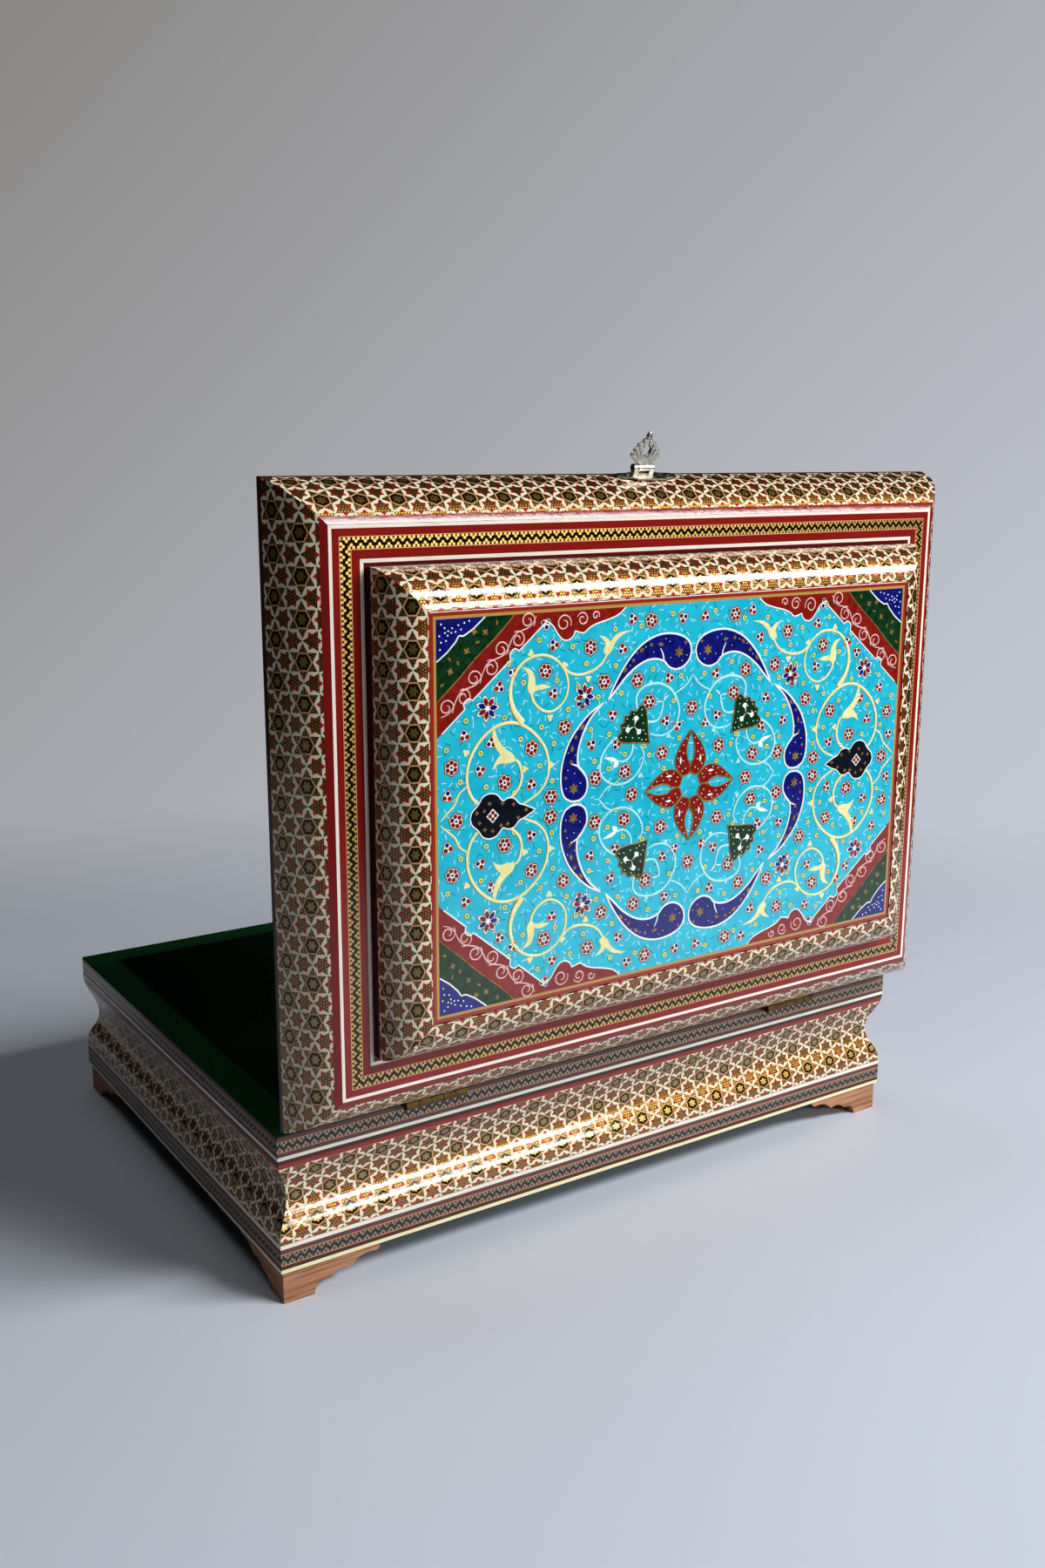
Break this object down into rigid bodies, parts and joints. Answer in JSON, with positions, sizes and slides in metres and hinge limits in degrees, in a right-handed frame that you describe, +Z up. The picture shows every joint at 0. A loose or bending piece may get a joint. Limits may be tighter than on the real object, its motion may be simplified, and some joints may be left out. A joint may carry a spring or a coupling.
{
  "type": "jewelry box",
  "caption": "Rectangular inlaid jewelry box on scalloped bracket feet, with coved sides, a raised hinged lid with a painted panel, a velvet lining and a hasp clasp, standing open.",
  "frame": {"origin": "on the table, below the middle of the bounding box of the box with its lid open", "axes": "+Z up, +X along the length of the box towards the right end as seen from its front, +Y from the front with the clasp to the back with the hinges"},
  "size_m": [0.29, 0.2542, 0.2953],
  "materials": {
    "inlay": "micro-mosaic of coloured woods, bone and brass under clear gloss lacquer",
    "stripe_veneer": "striped inlay veneer under clear gloss lacquer",
    "red_stripe_veneer": "red striped inlay veneer under clear gloss lacquer",
    "velvet": "dark green velvet pile",
    "felt": "green felt",
    "plywood": "sanded raw board",
    "softwood": "raw ground board, hidden",
    "panel_paint": "painted board under clear gloss lacquer",
    "foot_wood": "open-grained reddish brown wood, stained, nearly matte",
    "hinge_brass": "polished",
    "white_metal": "stamped sheet, nickel finish"
  },
  "bodies": {
    "base": {"bottom_board": "plywood", "catch_nail_left": "white_metal", "catch_nail_right": "white_metal", "catch_plate": "white_metal", "foot_back_left": "foot_wood", "foot_back_right": "foot_wood", "foot_front_left": "foot_wood", "foot_front_right": "foot_wood", "hinge_leaf_base_left": "hinge_brass", "hinge_leaf_base_right": "hinge_brass", "hinge_nail_base_left_a": "hinge_brass", "hinge_nail_base_left_b": "hinge_brass", "hinge_nail_base_right_a": "hinge_brass", "hinge_nail_base_right_b": "hinge_brass", "hinge_pin_left": "hinge_brass", "hinge_pin_right": "hinge_brass", "low_band_back": "stripe_veneer", "low_band_front": "stripe_veneer", "low_band_left": "stripe_veneer", "low_band_right": "stripe_veneer", "rim_felt": "felt", "top_band_back": "stripe_veneer", "top_band_front": "stripe_veneer", "top_band_left": "stripe_veneer", "top_band_right": "stripe_veneer", "under_felt": "felt", "wall_back": "inlay", "wall_front": "inlay", "wall_left": "inlay", "wall_right": "inlay", "well_lining": "velvet"},
    "lid": {"clasp_nail_left": "white_metal", "clasp_nail_right": "white_metal", "clasp_plate": "white_metal", "crown_ground": "softwood", "crown_rail_back": "inlay", "crown_rail_front": "inlay", "crown_rail_left": "inlay", "crown_rail_right": "inlay", "hasp_pin": "white_metal", "hinge_leaf_lid_left": "hinge_brass", "hinge_leaf_lid_right": "hinge_brass", "hinge_nail_lid_left_a": "hinge_brass", "hinge_nail_lid_left_b": "hinge_brass", "hinge_nail_lid_right_a": "hinge_brass", "hinge_nail_lid_right_b": "hinge_brass", "ledge_back": "red_stripe_veneer", "ledge_front": "red_stripe_veneer", "ledge_left": "red_stripe_veneer", "ledge_right": "red_stripe_veneer", "lid_board": "plywood", "lid_felt": "felt", "lid_lining": "velvet", "lid_rail_back": "inlay", "lid_rail_front": "inlay", "lid_rail_left": "inlay", "lid_rail_right": "inlay", "painted_panel": "panel_paint"},
    "hasp": {"hasp": "white_metal"}
  },
  "joints": [
    {"name": "lid_hinge", "type": "hinge", "parent": "base", "child": "lid", "pos_m": [0, 0.09327, 0.06375], "axis": [1, 0, 0], "range_deg": [0, 90]},
    {"name": "hasp_swing", "type": "hinge", "parent": "lid", "child": "hasp", "pos_m": [0, 0.09612, 0.28276], "axis": [1, 0, 0], "range_deg": [-85, 108.8]}
  ]
}
